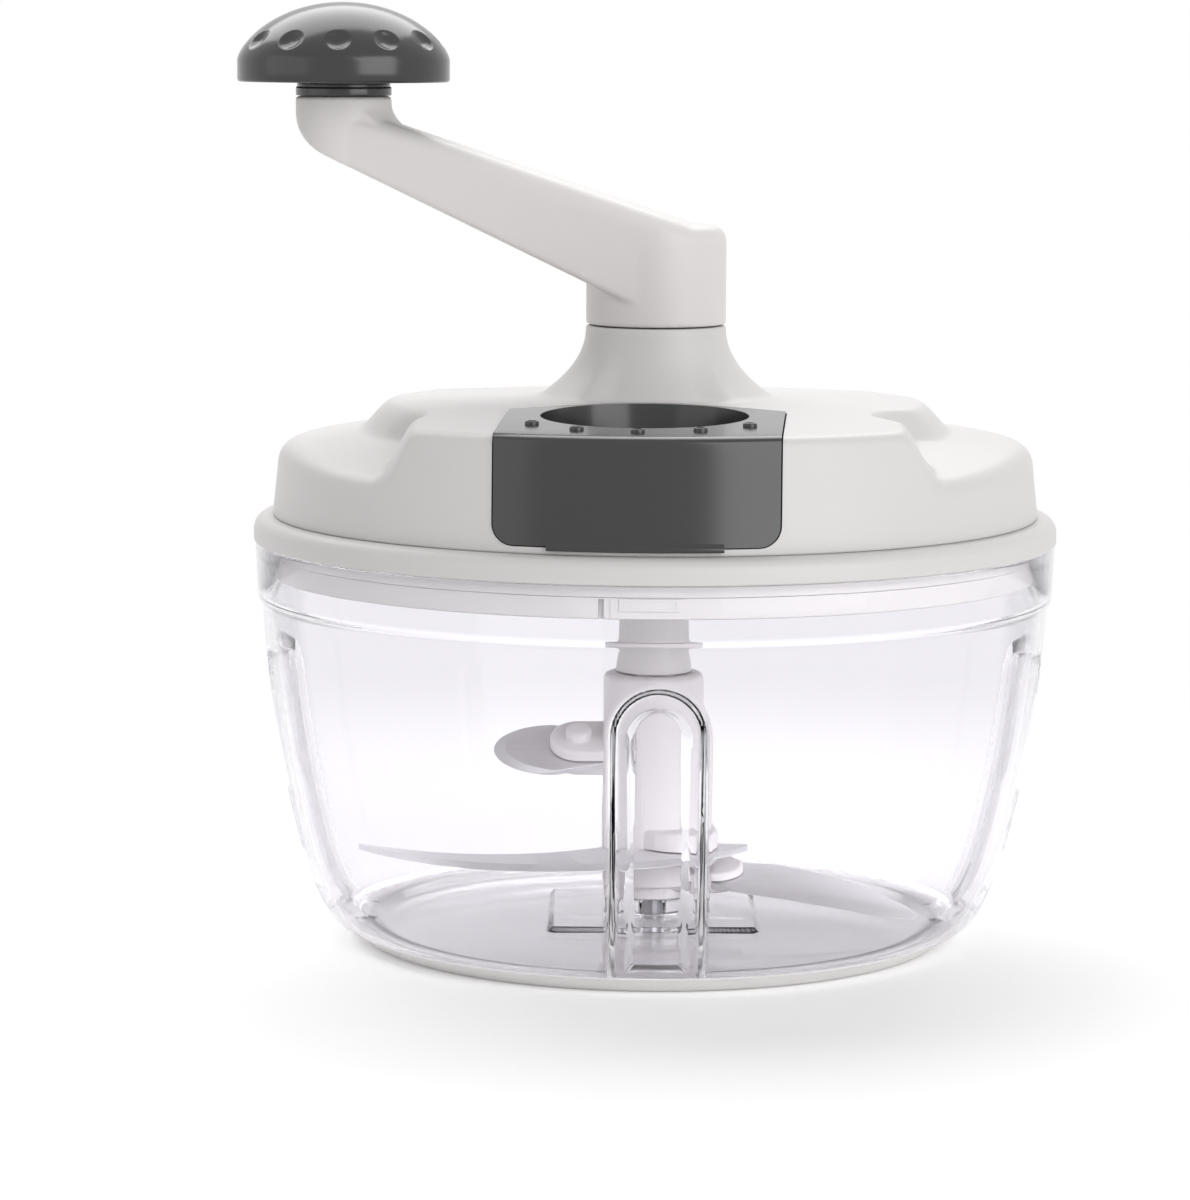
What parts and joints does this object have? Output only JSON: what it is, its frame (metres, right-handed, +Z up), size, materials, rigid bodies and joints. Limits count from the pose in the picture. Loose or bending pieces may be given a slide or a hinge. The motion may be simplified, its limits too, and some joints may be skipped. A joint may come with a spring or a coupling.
{
  "type": "crank food chopper",
  "caption": "Hand cranked food chopper with a clear round bowl, geared lid, drop-in feed cup, knobbed crank and a central blade column",
  "frame": {"origin": "centre of the pad under the bowl, on the table plane", "axes": "+Z up along the bowl axis; the feed insert faces -Y and the crank arm lies towards -X"},
  "size_m": [0.184, 0.1806, 0.2102],
  "materials": {
    "shell": "pale grey moulded plastic, smooth satin gloss",
    "dark": "charcoal plastic, glossy",
    "clear": "clear styrene-like plastic",
    "steel": "polished stainless",
    "gear": "natural acetal-like plastic",
    "soft": "soft silicone-like rubber"
  },
  "bodies": {
    "bowl": {"bowl": "clear", "pivot_pin": "steel", "non_slip_pad": "soft"},
    "lid": {"lid_cover": "shell", "lid_base": "shell", "lid_seal": "soft", "ring_gear": "gear", "neck_bush": "gear", "drive_bush": "gear", "lid_screw_1": "steel", "lid_screw_2": "steel", "lid_screw_3": "steel", "lid_screw_4": "steel"},
    "crank": {"crank_arm": "shell", "crank_screw": "steel", "planet_carrier": "gear", "planet_axle_1": "steel", "planet_axle_2": "steel", "planet_axle_3": "steel", "knob_stud": "steel"},
    "knob": {"knob": "dark", "knob_collar": "dark"},
    "planet_1": {"planet_gear_1": "gear"},
    "planet_2": {"planet_gear_2": "gear"},
    "planet_3": {"planet_gear_3": "gear"},
    "drive": {"sun_gear": "gear", "drive_hub": "shell", "sun_screw": "steel"},
    "blade_unit": {"blade_column": "shell", "column_bush": "gear", "blade_upper": "steel", "blade_middle": "steel", "blade_lower": "steel"},
    "insert": {"feed_insert": "dark"}
  },
  "joints": [
    {"name": "lid_lift", "type": "slide", "parent": "bowl", "child": "lid", "axis": [0, 0, 1], "range_m": [0, 0.12]},
    {"name": "crank_turn", "type": "hinge", "parent": "lid", "child": "crank", "pos_m": [0, 0, 0.13], "axis": [0, 0, 1], "continuous": true},
    {"name": "knob_spin", "type": "hinge", "parent": "crank", "child": "knob", "pos_m": [-0.07, 0, 0.195], "axis": [0, 0, 1], "continuous": true},
    {"name": "planet_1_spin", "type": "hinge", "parent": "crank", "child": "planet_1", "pos_m": [0.0108, 0, 0.104], "axis": [0, 0, 1], "continuous": true},
    {"name": "planet_2_spin", "type": "hinge", "parent": "crank", "child": "planet_2", "pos_m": [-0.0054, 0.00935, 0.104], "axis": [0, 0, 1], "continuous": true},
    {"name": "planet_3_spin", "type": "hinge", "parent": "crank", "child": "planet_3", "pos_m": [-0.0054, -0.00935, 0.104], "axis": [0, 0, 1], "continuous": true},
    {"name": "drive_spin", "type": "hinge", "parent": "lid", "child": "drive", "pos_m": [0, 0, 0.09], "axis": [0, 0, 1], "continuous": true},
    {"name": "blade_spin", "type": "hinge", "parent": "bowl", "child": "blade_unit", "pos_m": [0, 0, 0.02], "axis": [0, 0, 1], "continuous": true},
    {"name": "insert_lift", "type": "slide", "parent": "lid", "child": "insert", "axis": [0, 0, 1], "range_m": [0, 0.028]}
  ],
  "couplings": [
    {"joint": "planet_1_spin", "follows": "crank_turn", "ratio": -3},
    {"joint": "planet_2_spin", "follows": "crank_turn", "ratio": -3},
    {"joint": "planet_3_spin", "follows": "crank_turn", "ratio": -3},
    {"joint": "drive_spin", "follows": "crank_turn", "ratio": 4},
    {"joint": "blade_spin", "follows": "crank_turn", "ratio": 4}
  ]
}
